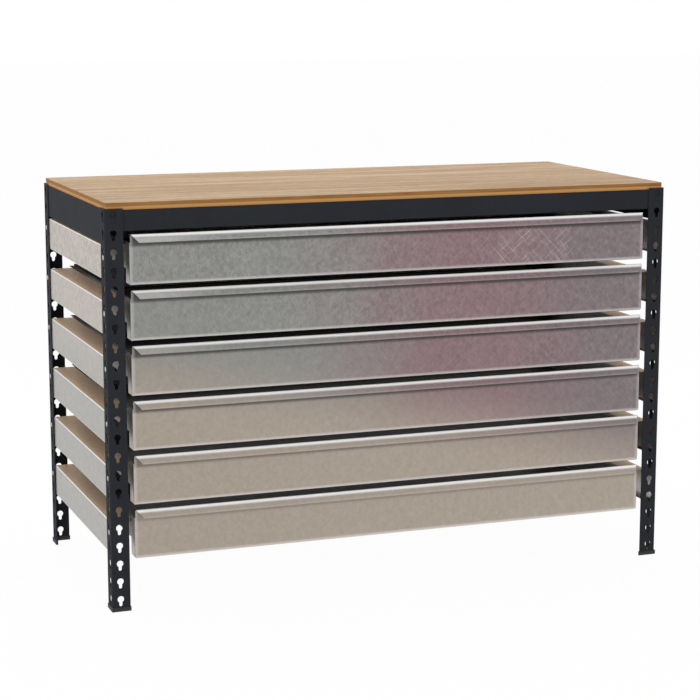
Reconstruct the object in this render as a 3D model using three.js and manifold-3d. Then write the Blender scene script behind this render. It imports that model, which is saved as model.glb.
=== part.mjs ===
// Workshop bench with six full-width drawers: keyholed angle posts, hooked-in beams, a wooden top,
// and drawers of folded galvanised sheet that hang on runners between the posts.
// Millimetres, +Z up. X runs along the width, Y from the front to the back, and the drawers open to -Y.

import * as THREE from 'three';
import { mergeGeometries, mergeVertices } from 'three/addons/utils/BufferGeometryUtils.js';
import Module from 'manifold-3d';

const wasm = await Module();
wasm.setup();

// Overall size, over the outer faces of the posts
const benchWidth = 1265;
const benchDepth = 585;
const benchHeight = 850;

// Gap left between pieces that rest on or hook into each other
const fitGap = 0.3;

// How far a welded-on sheet stands back from the edge of the sheet that it meets
const weldLap = 0.4;

// Angle posts
const postFlange = 38;
const postSheet = 1.8;
const postInnerBend = 1.5;
const postAboveBeam = 3;

// Keyholes, the same in both flanges
const keyholePitch = 38.1;
const keyholeFirst = 22;
const keyholeInset = 17.5;
const keyholeRound = 14;
const keyholeSlot = 7;
const keyholeLength = 22;
const keyholeTopMargin = 4;

// Rivets that hook into the keyholes
const rivetShank = 5.6;
const rivetHead = 11;
const rivetHeadHeight = 1.4;
const rivetSides = 8;
const rivetEdge = 5;

// Foot caps
const footSole = 4;
const footWall = 1.4;
const footHeight = 9;

// Wooden worktop
const boardThickness = 18;
const boardEdgeRound = 1;

// Beams: a web, a ledge that carries the board, a lip that holds its edge and a hem below
const beamSheet = 1.5;
const beamLip = 3.2;
const beamLedge = 24;
const beamHem = 9;
const longBeamHeight = 43.5;
const sideBeamHeight = 70;
const beamTongueMargin = 3;

// Runners: a web between the posts, a wide top flange that carries the drawer and a narrow lower one
const runnerSheet = 1.2;
const runnerHeight = 69;
const runnerTopFlange = 58;
const runnerLowFlange = 14;
const runnerBend = 1;
const runnerAboveRivet = 22.6;
const runnerTongueMargin = 5;
const runnerStopDrop = 9;
const runnerStopInset = 2;

// Drawer trays
const traySheet = 1;
const trayBend = 1.2;
const trayDepth = 56;
const traySideGap = 1.5;
const trayBackRise = 4;
const trayBackGap = 12;
const trayEarLength = 30;
const trayEarDrop = 0.6;

// Drawer fronts with a folded pull lip
const frontSheet = 1.2;
const frontBend = 1;
const frontPostGap = 11.5;
const frontGap = 10;
const frontRise = 25;
const frontReturn = 30;
const frontHem = 12;
const lipReach = 15;
const lipDrop = 17;
const lipInset = 2;
const lipMitre = 15;

// Layout of the drawers and how far they pull out
const keyholesPerDrawer = 3;
const frontBelowBeam = 3;
const floorClearance = 60;
const drawerTravel = 430;
const stopSpare = 6;

// Steps in a sheet's bend and in a keyhole's round end
const bendSteps = 2;
const keyholeArcSteps = 6;

// Heights worked out from the sizes above
const boardBottom = benchHeight - boardThickness;
const beamTop = boardBottom + beamLip;
const ledgeTop = boardBottom - fitGap;
const longBeamBottom = beamTop - longBeamHeight;
const postBottom = footSole + fitGap;
const postTop = beamTop + postAboveBeam;

// Distances from the bench's outer faces, worked out from the sizes above
const insideFlange = postSheet + fitGap;
const insideBend = insideFlange + postInnerBend;
const boardInset = insideFlange + beamSheet + fitGap;
const runnerReach = insideFlange + runnerTopFlange;
const trayInset = runnerReach + traySideGap;
const frontInset = postFlange + frontPostGap;
const runnerFront = postFlange + fitGap;
const stopAt = runnerFront + weldLap;

// Materials
const paintedSteel = { color: 0x2b2c2f, roughness: 0.55, metalness: 0.35 };
const galvanisedSteel = { color: 0xa7a3a0, roughness: 0.38, metalness: 0.9 };
const wood = { color: 0xc09d74, roughness: 0.6, metalness: 0 };
const blackPlastic = { color: 0x161617, roughness: 0.7, metalness: 0 };

const bench = new THREE.Group();

// Adds a named piece; turn is a number of quarter turns about the vertical.
function addPiece(name, geometry, finish, position = [0, 0, 0], turn = 0) {
  const mesh = new THREE.Mesh(geometry, new THREE.MeshStandardMaterial(finish));
  mesh.name = name;
  mesh.position.set(...position);
  mesh.rotation.z = (turn * Math.PI) / 2;
  bench.add(mesh);
}

// Solids and their joins

function solid(geometry) {
  const bare = geometry.clone();
  bare.deleteAttribute('normal');
  bare.deleteAttribute('uv');
  const merged = mergeVertices(bare);
  const vertProperties = new Float32Array(merged.attributes.position.array);
  const triVerts = new Uint32Array(merged.index.array);
  return new wasm.Manifold(new wasm.Mesh({ numProp: 3, vertProperties, triVerts }));
}

function toGeometry(body) {
  const mesh = body.getMesh();
  const geometry = new THREE.BufferGeometry();
  geometry.setAttribute('position', new THREE.BufferAttribute(mesh.vertProperties, 3));
  geometry.setIndex(new THREE.BufferAttribute(mesh.triVerts, 1));
  geometry.computeVertexNormals();
  return geometry;
}

function join(geometries) {
  const bodies = geometries.map(solid);
  return bodies.reduce((whole, body) => whole.add(body));
}

// Cross-sections

function outline(points) {
  return new THREE.Shape(points.map(([x, y]) => new THREE.Vector2(x, y)));
}

function rectangle(left, low, right, high) {
  return outline([[left, low], [right, low], [right, high], [left, high]]);
}

// Section of a sheet folded along a path: the path is one face, the thickness lies to its left,
// and every fold is an arc with the given radius on its inner side.
function foldedSheet(path, thickness, innerBend) {
  const points = path.map(([x, y]) => new THREE.Vector2(x, y));
  const faces = [];
  const place = (point, angle) => {
    const normal = new THREE.Vector2(-Math.sin(angle), Math.cos(angle));
    faces.push([point, point.clone().addScaledVector(normal, thickness)]);
  };
  const heading = (from, to) => Math.atan2(to.y - from.y, to.x - from.x);
  place(points[0], heading(points[0], points[1]));
  for (let i = 1; i < points.length - 1; i += 1) {
    const before = heading(points[i - 1], points[i]);
    const after = heading(points[i], points[i + 1]);
    const turn = Math.atan2(Math.sin(after - before), Math.cos(after - before));
    const side = Math.sign(turn);
    const radius = side > 0 ? innerBend + thickness : innerBend;
    const setback = radius * Math.tan(Math.abs(turn) / 2);
    const along = new THREE.Vector2(Math.cos(before), Math.sin(before));
    const across = new THREE.Vector2(-along.y, along.x);
    const centre = points[i].clone().addScaledVector(along, -setback).addScaledVector(across, side * radius);
    for (let step = 0; step <= bendSteps; step += 1) {
      const angle = before + (turn * step) / bendSteps;
      const normal = new THREE.Vector2(-Math.sin(angle), Math.cos(angle));
      place(centre.clone().addScaledVector(normal, -side * radius), angle);
    }
  }
  const last = points.length - 1;
  place(points[last], heading(points[last - 1], points[last]));
  const nearFace = faces.map(([near]) => near);
  const farFace = faces.map(([, far]) => far).reverse();
  return new THREE.Shape([...nearFace, ...farFace]);
}

// Extrusions

function upright(shape, low, high) {
  const geometry = new THREE.ExtrudeGeometry(shape, { depth: high - low, bevelEnabled: false });
  return geometry.translate(0, 0, low);
}

// Carries a section drawn as (x, z) along the depth, from its front end to its back end.
function alongDepth(shape, front, back) {
  const geometry = new THREE.ExtrudeGeometry(shape, { depth: back - front, bevelEnabled: false });
  return geometry.rotateX(Math.PI / 2).translate(0, back, 0);
}

// Carries a section drawn as (y, z) along the width, from its left end to its right end.
function alongWidth(shape, left, right) {
  const geometry = new THREE.ExtrudeGeometry(shape, { depth: right - left, bevelEnabled: false });
  return geometry.rotateX(Math.PI / 2).rotateZ(Math.PI / 2).translate(left, 0, 0);
}

// Keyholes and the rivets in them

const keyholeCount = 1 + Math.floor(
  (postTop - keyholeTopMargin - keyholeLength / 2 - keyholeFirst) / keyholePitch,
);

function keyholeHeight(index) {
  return keyholeFirst + index * keyholePitch;
}

// A rivet sits in the lower end of the slot.
function rivetHeight(index) {
  return keyholeHeight(index) - keyholeLength / 2 + keyholeSlot / 2;
}

// A round upper end with a narrower slot below it, drawn as (across, up).
function keyholeShape(across, height) {
  const roundRadius = keyholeRound / 2;
  const slotRadius = keyholeSlot / 2;
  const roundCentre = height + keyholeLength / 2 - roundRadius;
  const slotEnd = height - keyholeLength / 2;
  const neck = Math.asin(slotRadius / roundRadius);
  const points = [];
  for (let step = 0; step <= keyholeArcSteps; step += 1) {
    const angle = -Math.PI / 2 + neck + ((2 * Math.PI - 2 * neck) * step) / keyholeArcSteps;
    points.push([across + roundRadius * Math.cos(angle), roundCentre + roundRadius * Math.sin(angle)]);
  }
  points.push([across - slotRadius, slotEnd], [across + slotRadius, slotEnd]);
  return outline(points);
}

// A row of keyhole-shaped plugs, which cut the holes in one flange; they cross the plane y = 0.
function keyholePlugs() {
  const plugs = [];
  for (let index = 0; index < keyholeCount; index += 1) {
    plugs.push(alongDepth(keyholeShape(keyholeInset, keyholeHeight(index)), -postSheet, 2 * postSheet));
  }
  return mergeGeometries(plugs);
}

// A rivet on the left side of the bench: from inside its sheet, through the keyhole, to a head outside.
function leftRivet(depth, height, sheet) {
  const shank = rivetShank / 2;
  const head = rivetHead / 2;
  const root = insideFlange + sheet / 2;
  const neck = root + fitGap;
  const profile = [[0, 0], [shank, 0], [shank, neck], [head, neck], [0, neck + rivetHeadHeight]];
  const geometry = new THREE.LatheGeometry(profile.map(([r, h]) => new THREE.Vector2(r, h)), rivetSides);
  return geometry.rotateZ(Math.PI / 2).translate(root, depth, height);
}

// Heights of the rivets that fit between the lower and the upper edge of a sheet.
function rivetHeights(low, high) {
  const heights = [];
  for (let index = 0; index < keyholeCount; index += 1) {
    const height = rivetHeight(index);
    if (height > low + rivetEdge && height < high - rivetEdge) {
      heights.push(height);
    }
  }
  return heights;
}

// Posts and feet, drawn with the outer corner at the origin and the flanges along +X and +Y

const corners = [
  { name: 'front_left', position: [-benchWidth / 2, 0, 0], turn: 0 },
  { name: 'front_right', position: [benchWidth / 2, 0, 0], turn: 1 },
  { name: 'back_right', position: [benchWidth / 2, benchDepth, 0], turn: 2 },
  { name: 'back_left', position: [-benchWidth / 2, benchDepth, 0], turn: 3 },
];

// The angle's section, grown by a margin on every side; its bends keep their centre.
function angleSection(margin) {
  const near = -margin;
  const far = postFlange + margin;
  const path = [[near, far], [near, near], [far, near]];
  return foldedSheet(path, postSheet + 2 * margin, postInnerBend - margin);
}

function postGeometry() {
  const angle = solid(upright(angleSection(0), postBottom, postTop));
  const acrossFront = keyholePlugs();
  const acrossSide = keyholePlugs().rotateZ(Math.PI / 2).translate(postSheet, 0, 0);
  return toGeometry(angle.subtract(solid(acrossFront)).subtract(solid(acrossSide)));
}

// A cap with a floor under the post and a wall round it.
function footGeometry() {
  const near = -footWall;
  const wide = postFlange + footWall;
  const thick = postSheet + footWall;
  const cap = outline([[near, near], [wide, near], [wide, thick], [thick, thick], [thick, wide], [near, wide]]);
  const slot = upright(angleSection(fitGap), footSole, 2 * footHeight);
  return toGeometry(solid(upright(cap, 0, footHeight)).subtract(solid(slot)));
}

const post = postGeometry();
const foot = footGeometry();
for (const { name, position, turn } of corners) {
  addPiece(`post_${name}`, post, paintedSteel, position, turn);
  addPiece(`foot_${name}`, foot, blackPlastic, position, turn);
}

// A folded section along the depth of a given span, as on the left side: between the posts it is whole,
// and behind them only a tongue of its web is left, with rivets that hook into the keyholes.
function hookedSection(section, span, end, tongueLow, tongueHigh, sheet) {
  const reach = span / 2;
  const waste = [[-reach, tongueLow], [tongueHigh, tongueHigh + reach]].flatMap(([low, high]) => {
    const block = rectangle(-reach, low, reach, high);
    return [alongDepth(block, -reach, runnerFront), alongDepth(block, span - runnerFront, span + reach)];
  });
  let body = solid(alongDepth(section, end, span - end)).subtract(solid(mergeGeometries(waste)));
  for (const height of rivetHeights(tongueLow, tongueHigh)) {
    body = body.add(solid(leftRivet(keyholeInset, height, sheet)));
    body = body.add(solid(leftRivet(span - keyholeInset, height, sheet)));
  }
  return body;
}

// Beams, drawn on the left side of a bench of the given span, with x from the outer face inwards

function beamGeometry(span, height, end) {
  const bottom = beamTop - height;
  const webInside = insideFlange + beamSheet;
  const ledgeBottom = ledgeTop - beamSheet;
  const hemTop = bottom + beamSheet;
  const section = outline([
    [insideFlange, beamTop], [insideFlange, bottom],
    [insideFlange + beamHem, bottom], [insideFlange + beamHem, hemTop],
    [webInside, hemTop], [webInside, ledgeBottom],
    [insideFlange + beamLedge, ledgeBottom], [insideFlange + beamLedge, ledgeTop],
    [webInside, ledgeTop], [webInside, beamTop],
  ]);
  const tongueLow = hemTop + beamTongueMargin;
  const tongueHigh = ledgeBottom - beamTongueMargin;
  return toGeometry(hookedSection(section, span, end, tongueLow, tongueHigh, beamSheet));
}

// The side beams end against the webs of the long beams.
const longBeam = beamGeometry(benchWidth, longBeamHeight, insideBend);
const sideBeam = beamGeometry(benchDepth, sideBeamHeight, Math.max(boardInset, insideBend));
addPiece('beam_left', sideBeam, paintedSteel, [-benchWidth / 2, 0, 0], 0);
addPiece('beam_front', longBeam, paintedSteel, [benchWidth / 2, 0, 0], 1);
addPiece('beam_right', sideBeam, paintedSteel, [benchWidth / 2, benchDepth, 0], 2);
addPiece('beam_back', longBeam, paintedSteel, [-benchWidth / 2, benchDepth, 0], 3);

// Worktop board, inside the lips of the beams, with its upper edges broken

function boardGeometry() {
  const halfWidth = benchWidth / 2 - boardInset - boardEdgeRound;
  const front = boardInset + boardEdgeRound;
  const back = benchDepth - boardInset - boardEdgeRound;
  const geometry = new THREE.ExtrudeGeometry(rectangle(-halfWidth, front, halfWidth, back), {
    depth: boardThickness - 2 * boardEdgeRound,
    bevelThickness: boardEdgeRound,
    bevelSize: boardEdgeRound,
    bevelSegments: 2,
  });
  return geometry.translate(0, 0, boardBottom + boardEdgeRound);
}

addPiece('worktop_board', boardGeometry(), wood);

// Drawer levels, counted from the top: the first is at the highest keyhole that keeps it below the beam

const drawerPitch = keyholesPerDrawer * keyholePitch;
const frontHeight = drawerPitch - frontGap;
const frontAboveRivet = runnerAboveRivet + frontRise;
const topKeyhole = Math.floor(
  (longBeamBottom - frontBelowBeam - frontAboveRivet - rivetHeight(0)) / keyholePitch,
);
const firstFrontTop = rivetHeight(topKeyhole) + frontAboveRivet;
const drawerCount = Math.floor((firstFrontTop - floorClearance) / drawerPitch);

// Runners, drawn on the left side like the beams, with a stop below the front end of the top flange.
// The right one is turned about the middle of the bench, so its stop is put at the other end.

function runnerGeometry(top, stopFront) {
  const low = top - runnerHeight;
  const section = foldedSheet(
    [[runnerReach, top], [insideFlange, top], [insideFlange, low], [insideFlange + runnerLowFlange, low]],
    runnerSheet, runnerBend,
  );
  const tongueLow = low + runnerSheet + runnerTongueMargin;
  const tongueHigh = top - runnerSheet - runnerTongueMargin;
  const body = hookedSection(section, benchDepth, boardInset, tongueLow, tongueHigh, runnerSheet);
  const stop = rectangle(postFlange, top - runnerStopDrop, runnerReach - runnerStopInset, top - runnerSheet / 2);
  return toGeometry(body.add(solid(alongDepth(stop, stopFront, stopFront + runnerSheet))));
}

// A tray of one folded section, closed by a front and a back wall, with an ear under each runner flange

function trayGeometry(runnerTop) {
  const hangs = runnerTop + fitGap;
  const floor = hangs - trayDepth;
  const wall = benchWidth / 2 - trayInset;
  const hangEdge = benchWidth / 2 - frontInset - weldLap - frontSheet - fitGap;
  const section = foldedSheet(
    [[-hangEdge, hangs], [-wall, hangs], [-wall, floor], [wall, floor], [wall, hangs], [hangEdge, hangs]],
    traySheet, trayBend,
  );
  const front = frontSheet + fitGap;
  const back = benchDepth - trayBackGap;
  const wallEdge = wall - traySheet / 2;
  const wallLow = floor + traySheet / 2;
  const frontWall = rectangle(-wallEdge, wallLow, wallEdge, hangs + traySheet / 2);
  const backWall = rectangle(-wallEdge, wallLow, wallEdge, hangs + traySheet + trayBackRise);
  const earTop = runnerTop - runnerSheet - trayEarDrop;
  const earFront = stopAt + runnerSheet + drawerTravel + stopSpare;
  const ears = [-1, 1].map((side) => {
    const ear = rectangle(side * wallEdge, earTop - traySheet, side * hangEdge, earTop);
    return alongDepth(ear, earFront, earFront + trayEarLength);
  });
  const pieces = [
    alongDepth(section, front, back),
    alongDepth(frontWall, front + weldLap, front + weldLap + traySheet),
    alongDepth(backWall, back - weldLap - traySheet, back - weldLap),
    ...ears,
  ];
  return toGeometry(join(pieces));
}

// A front of folded sheet: hem, face and a lip that turns outwards and down, with its ends cut at a mitre

function frontGeometry(top) {
  const low = top - frontHeight;
  const half = benchWidth / 2 - frontInset;
  const section = foldedSheet(
    [[-lipReach, top - lipDrop], [0, top], [0, low], [frontHem, low]],
    frontSheet, frontBend,
  );
  const sideReturn = rectangle(frontSheet / 2, low + frontSheet / 2, frontReturn, top - lipDrop);
  const returnAt = half - weldLap;
  const pieces = [
    alongWidth(section, -half, half),
    alongWidth(sideReturn, -returnAt, -returnAt + frontSheet),
    alongWidth(sideReturn, returnAt - frontSheet, returnAt),
  ];
  const mitres = [-1, 1].map((side) => {
    const corner = half - lipInset;
    const mitre = outline([
      [side * 2 * half, top + lipDrop], [side * (corner + lipMitre), top + lipDrop],
      [side * (corner - 2 * lipMitre), top - 2 * lipDrop], [side * 2 * half, top - 2 * lipDrop],
    ]);
    return alongDepth(mitre, -2 * lipReach, -fitGap);
  });
  return toGeometry(join(pieces).subtract(solid(mergeGeometries(mitres))));
}

for (let level = 0; level < drawerCount; level += 1) {
  const frontTop = firstFrontTop - level * drawerPitch;
  const runnerTop = frontTop - frontRise;
  const leftRunner = runnerGeometry(runnerTop, stopAt);
  const rightRunner = runnerGeometry(runnerTop, benchDepth - stopAt - runnerSheet);
  addPiece(`runner_left_${level + 1}`, leftRunner, galvanisedSteel, [-benchWidth / 2, 0, 0], 0);
  addPiece(`runner_right_${level + 1}`, rightRunner, galvanisedSteel, [benchWidth / 2, benchDepth, 0], 2);
  addPiece(`drawer_tray_${level + 1}`, trayGeometry(runnerTop), galvanisedSteel);
  addPiece(`drawer_front_${level + 1}`, frontGeometry(frontTop), galvanisedSteel);
}

// The origin is on the floor, midway between the pull lips and what stands out most at the back
const lipFront = lipReach + (frontSheet * lipDrop) / Math.hypot(lipReach, lipDrop);
const backProud = Math.max(footWall, fitGap + rivetHeadHeight);
bench.position.y = (lipFront - benchDepth - backProud) / 2;

const object = new THREE.Group();
object.add(bench);

export default object;
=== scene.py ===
"""Workshop bench with six full-width drawers: its finished surfaces, light and camera.

Every piece but the feet, which keep their imported meshes, is a sheet or a shell worked out with numpy
in metres: a folded section carried along a length, a plate with a hole in each cell, or a ring swept
round. +Z is up and the drawers open to -Y.
"""

import math

import bmesh
import bpy
import numpy as np
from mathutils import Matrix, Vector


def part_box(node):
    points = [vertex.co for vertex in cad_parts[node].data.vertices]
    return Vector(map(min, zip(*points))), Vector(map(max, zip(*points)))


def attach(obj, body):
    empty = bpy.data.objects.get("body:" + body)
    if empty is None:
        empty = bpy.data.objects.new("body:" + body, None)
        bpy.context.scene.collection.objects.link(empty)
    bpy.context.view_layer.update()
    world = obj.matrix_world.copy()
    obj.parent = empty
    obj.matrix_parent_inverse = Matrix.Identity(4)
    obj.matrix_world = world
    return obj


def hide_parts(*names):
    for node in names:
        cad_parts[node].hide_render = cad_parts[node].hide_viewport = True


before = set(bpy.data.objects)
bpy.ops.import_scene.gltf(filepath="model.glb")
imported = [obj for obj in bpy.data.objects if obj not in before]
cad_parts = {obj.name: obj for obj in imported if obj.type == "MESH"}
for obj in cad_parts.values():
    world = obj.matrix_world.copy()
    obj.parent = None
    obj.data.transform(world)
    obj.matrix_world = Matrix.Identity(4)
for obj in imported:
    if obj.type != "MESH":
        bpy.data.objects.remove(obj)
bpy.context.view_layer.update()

MM = 0.001

# Corners of the bench, with the directions of each post's flanges, and the drawers from the top down
CORNERS = {"front_left": (1, 1), "front_right": (-1, 1), "back_left": (1, -1), "back_right": (-1, -1)}
LEVELS = range(1, 7)

# Meshes and fits
BEND_STEPS = 6
SHARP_EDGE = math.radians(38)
MERGE_DISTANCE = 0.01 * MM
HEIGHT_DIGITS = 7
SMALLEST = 1e-9
FIT_GAP = 0.3 * MM
WELD_LAP = 0.4 * MM

# Posts, beams and runners
POST_SHEET = 1.8 * MM
POST_BEND = 1.5 * MM
BEAM_SHEET = 1.5 * MM
BEAM_BEND = 1.5 * MM
BEAM_LEDGE = 24 * MM
BEAM_HEM = 9 * MM
BEAM_LIP = 3.2 * MM
BEAM_TONGUE_DROP = 2 * MM
RUNNER_SHEET = 1.2 * MM
RUNNER_BEND = 1.0 * MM
RUNNER_LOW_FLANGE = 14 * MM
RUNNER_STOP_DROP = 9 * MM
RUNNER_STOP_INSET = 2 * MM
TONGUE_MARGIN = 5 * MM

# Keyholes and rivets
KEYHOLE_PITCH = 38.1 * MM
KEYHOLE_FIRST = 22 * MM
KEYHOLE_INSET = 17.5 * MM
KEYHOLE_ROUND = 14 * MM
KEYHOLE_SLOT = 7 * MM
KEYHOLE_LENGTH = 22 * MM
KEYHOLE_MARGIN = 4 * MM
CELL_SIDE_STEPS = 12
RIVET_HEAD = 11 * MM
RIVET_DOME = 1.4 * MM
RIVET_EDGE = 5 * MM
RIVET_SIDES = 20
RIVET_RINGS = 5

# Drawer trays
TRAY_SHEET = 1.0 * MM
TRAY_BEND = 1.2 * MM
TRAY_DEPTH = 56 * MM
TRAY_SIDE_GAP = 1.5 * MM
TRAY_EAR_LENGTH = 30 * MM
TRAY_EAR_DROP = 0.6 * MM
TRAY_SHADE_FULL = 120 * MM
TRAY_SHADE_FADE = 120 * MM
TRAY_SHADE_ROWS = 5
DRAWER_TRAVEL = 430 * MM
STOP_SPARE = 6 * MM

# Drawer fronts, and their waves as (strength, turn per metre across, turn per metre up, shift)
FRONT_SHEET = 1.2 * MM
FRONT_BEND = 1.0 * MM
FRONT_RETURN = 30 * MM
FRONT_HEM = 12 * MM
FRONT_GAP = 10 * MM
FRONT_ROW = 2.5 * MM
FRONT_COLUMN = 24 * MM
LIP_REACH = 15 * MM
LIP_DROP = 17 * MM
LIP_MITRE = 15 * MM
WAVE_DEPTH = 0.22 * MM
WAVES = ((1.0, 7.3, 9.0, 0.0), (0.6, 17.0, -21.0, 1.3), (0.3, 39.0, 33.0, 0.4))

# Painted light on the fronts: painted highlights on the lip, hem and sides, and painted shadow under the
# lip; real wear: scratches on one drawer
LIP_HIGHLIGHT_WIDTH = 4 * MM
LIP_SHEEN = 4 * MM
LIP_EDGE_SHEEN = 0.15
LIP_END_SHEEN = 0.28
LIP_END_HIGHLIGHT_LENGTH = 40 * MM
LIP_END_FADE = 180 * MM
LIP_END_LEVELS = 2
LIP_END_LEVELS_FADE = 2
LIP_SHADE_START = 22 * MM
LIP_SHADE = 7 * MM
HEM_SHEEN = 0.4
HEM_HIGHLIGHT_WIDTH = 2 * MM
HEM_FADE = 6 * MM
SIDE_SHEEN = 0.2
SIDE_HIGHLIGHT_WIDTH = 4 * MM
SIDE_FADE = 5 * MM
SCUFF_LEVEL = 1
SCUFF_X = 315 * MM
SCUFF_FULL = 40 * MM
SCUFF_FADE = 90 * MM

# Worktop board, with the line between the two layers of its edge measured down from the top
BOARD_EDGE = 1.0 * MM
BOARD_CORNER = 2.5 * MM
BOARD_LAYER_LOW = 9 * MM
BOARD_LAYER_HIGH = 7 * MM

# Ranges of a pattern's values that a finish spreads out: the narrower, the stronger the contrast
WHOLE = (0, 1)
SOFT = (0.2, 0.8)
CLEAR = (0.25, 0.75)
STRONG = (0.3, 0.7)

# Paint of posts and beams. The patterns of all finishes are counted in cells per metre
PAINT_DARK = (0.023, 0.0255, 0.0305)
PAINT_LIGHT = (0.033, 0.036, 0.0425)
PAINT_DUST = (0.045, 0.045, 0.046)
PAINT_DUST_RANGE = (0.56, 0.78)
PAINT_DUST_SHARE = 0.3
PAINT_CLOUDS = 9.0
PAINT_PEEL = 900.0
PAINT_DUST_SPECKS = 160.0
PAINT_ROUGHNESS = (0.5, 0.64)
PAINT_GLOSS = 0.02
PAINT_RELIEF = 0.05 * MM

# Zinc: tones from left to right and towards the floor, which on the fronts are painted reflection on the
# zinc, and on what lies flat
FRONT_REFLECTION_TONES = ((0.281, 0.285, 0.27), (0.271, 0.186, 0.198), (0.227, 0.190, 0.198))
FRONT_LOWER_REFLECTION_TONE = (0.411, 0.353, 0.296)
RUNNER_TONE = (0.497, 0.452, 0.411)
RUNNER_LOWER_TONE = (0.41, 0.397, 0.373)
RUNNER_LYING_TONE = (0.66, 0.48, 0.33)
RUNNER_SPANGLE = 1.6
TRAY_TONE = (0.42, 0.40, 0.38)
TRAY_LYING_TONE = (0.27, 0.262, 0.25)
TRAY_METAL = 0.55
TRAY_SPANGLE = 1.3
SCRATCH_TONE = (0.62, 0.60, 0.60)
# Painted shadow under the lips, painted shade at the rear of the trays and painted highlight on folds and
# edges
LIP_SHADOW_TONE = (0.05, 0.048, 0.046)
SHADE_TONE = (0.02, 0.019, 0.018)
HIGHLIGHT_TONE = (0.93, 0.92, 0.91)
# Where the tones change, left to right and towards the floor: on the fronts, painted reflection
TONE_WANDER = 0.25
TONE_MIDDLE = (-0.16, 0.26)
TONE_RIGHT = (0.36, 0.62)
TONE_SLOPE = 0.22
TONE_LOWER = (0.48, 0.29)
LYING_FACES = (0.8, 0.95)
LYING_METAL = 0.2

# Zinc: patterns, and the strength of each in the mottled tone
ZINC_GRAINS = 190.0
ZINC_STREAKS = 260.0
ZINC_SPECKS = 520.0
ZINC_CLOUDS = 85.0
ZINC_BLOTCHES = 11.0
GRAIN_STRETCH = (1.0, 1.0, 0.6)
STREAK_STRETCH = (1.0, 1.0, 0.45)
GRAIN_MOTTLE = 0.05
STREAK_MOTTLE = 0.05
SPECK_MOTTLE = 0.11
CLOUD_MOTTLE = 0.06
MOTTLE_HEIGHT = (0.4, 0.6)
MOTTLE_LOW = 0.5
MOTTLE_HIGH = 1.3
# Painted shadow under the lips, weaker towards the floor: the heights and the strengths
LIP_SHADOW_HEIGHT = (0.15, 0.5)
LIP_SHADOW_SHARE = (0.3, 0.8)
ZINC_ROUGHNESS = (0.34, 0.48)
ZINC_GLOSS = 0.0
ZINC_RELIEF = 0.03 * MM
SPECK_RELIEF = 0.5

# Two sets of scratches: the stretch of the pattern, its turn in degrees, and the values that show
SCRATCHES = (((22.0, 22.0, 620.0), 46, (0.6, 0.68)), ((20.0, 20.0, 580.0), -42, (0.61, 0.69)))
SCRATCH_SHARE = (0.07, 0.36)

# Wood: patterns drawn out along the length, and tones
WOOD_FIBRES = 260.0
FIBRE_STRETCH = (0.06, 1.0, 1.0)
WOOD_BANDS = 38.0
BAND_STRETCH = (0.05, 1.0, 1.0)
BAND_RANGE = (0.4, 0.65)
BAND_SHARE = 0.65
WOOD_PORES = 700.0
PORE_STRETCH = (0.12, 1.0, 1.0)
PORE_RANGE = (0.6, 0.72)
PORE_SHARE = 0.35
PORE_RELIEF = 0.5
WOOD_FLECKS = 150.0
FLECK_STRETCH = (0.4, 1.0, 1.0)
DARK_FLECK_RANGE = (0.5, 0.68)
DARK_FLECK_SHARE = 0.45
LIGHT_FLECK_RANGE = (0.45, 0.3)
LIGHT_FLECK_SHARE = 0.4
WOOD_DARK = (0.262, 0.16, 0.084)
WOOD_LIGHT = (0.48, 0.34, 0.21)
WOOD_BAND = (0.575, 0.425, 0.29)
WOOD_DARK_FLECK = (0.236, 0.148, 0.08)
WOOD_LIGHT_FLECK = (0.59, 0.45, 0.315)
WOOD_PORE = (0.21, 0.12, 0.057)
EDGE_FACES = (0.75, 0.25)
EDGE_LOWER = (0.60, 0.30, 0.10)
EDGE_UPPER = (0.285, 0.125, 0.032)
EDGE_FIBRE = (0.54, 0.32, 0.14)
EDGE_FIBRE_SHARE = 0.35
WOOD_ROUGHNESS = (0.5, 0.68)
WOOD_GLOSS = 0.08
WOOD_RELIEF = 0.12 * MM

# Plastic of the foot caps
PLASTIC_TONE = (0.012, 0.012, 0.013)
PLASTIC_DUST = (0.06, 0.056, 0.05)
PLASTIC_DUST_HEIGHT = 6 * MM
PLASTIC_DUST_SPECKS = 300.0
PLASTIC_DUST_SHARE = 0.5
PLASTIC_GRAIN = 1400.0
PLASTIC_ROUGHNESS = (0.55, 0.75)
PLASTIC_RELIEF = 0.08 * MM

# Floor, light and camera
FLOOR_HALF = 30.0
FLOOR_TONE = (0.86, 0.855, 0.85, 1)
FLOOR_WHITE = 0.97
WHITE = (1, 1, 1, 1)
FILL_DIRECTION = (0, -0.8, 0.6)
FILL_LEVELS = (0.08, 1.0)
LIGHTS = {
    "ceiling": {
        "place": (0.0, 1.0, 3.0), "target": (0, 0.1, 0.8), "size": (3.0, 1.6),
        "watts": 38, "colour": (1.0, 0.985, 0.96)},
    "left": {
        "place": (-3.4, -0.6, 1.9), "target": (-0.6, 0, 0.5), "size": (1.6, 1.6),
        "watts": 13, "colour": (1.0, 0.99, 0.97)},
}
SENSOR = 36.0
FRAME_PIXELS = 700
FOCAL_PIXELS = 2012
CAMERA_PLACE = (-1.5615, -4.2124, 1.276)
CAMERA_YAW = 20.3
CAMERA_PITCH = 10.24
CAMERA_REACH = 100

# Sizes taken from the frame: where tongues lie behind the posts, and where sections between them begin
post_low, post_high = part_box("post_front_left")
tongue_face = POST_SHEET + FIT_GAP
section_start = post_high.x - post_low.x + FIT_GAP
front_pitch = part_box("drawer_front_1")[0].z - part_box("drawer_front_2")[0].z
front_height = front_pitch - FRONT_GAP


# Arrays and meshes

def grid_quads(rows, columns):
    """Quads between neighbouring points of a grid that is stored row by row."""
    index = np.arange(rows * columns).reshape(rows, columns)
    return np.stack([index[:-1, :-1], index[:-1, 1:], index[1:, 1:], index[1:, :-1]], axis=-1)


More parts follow.
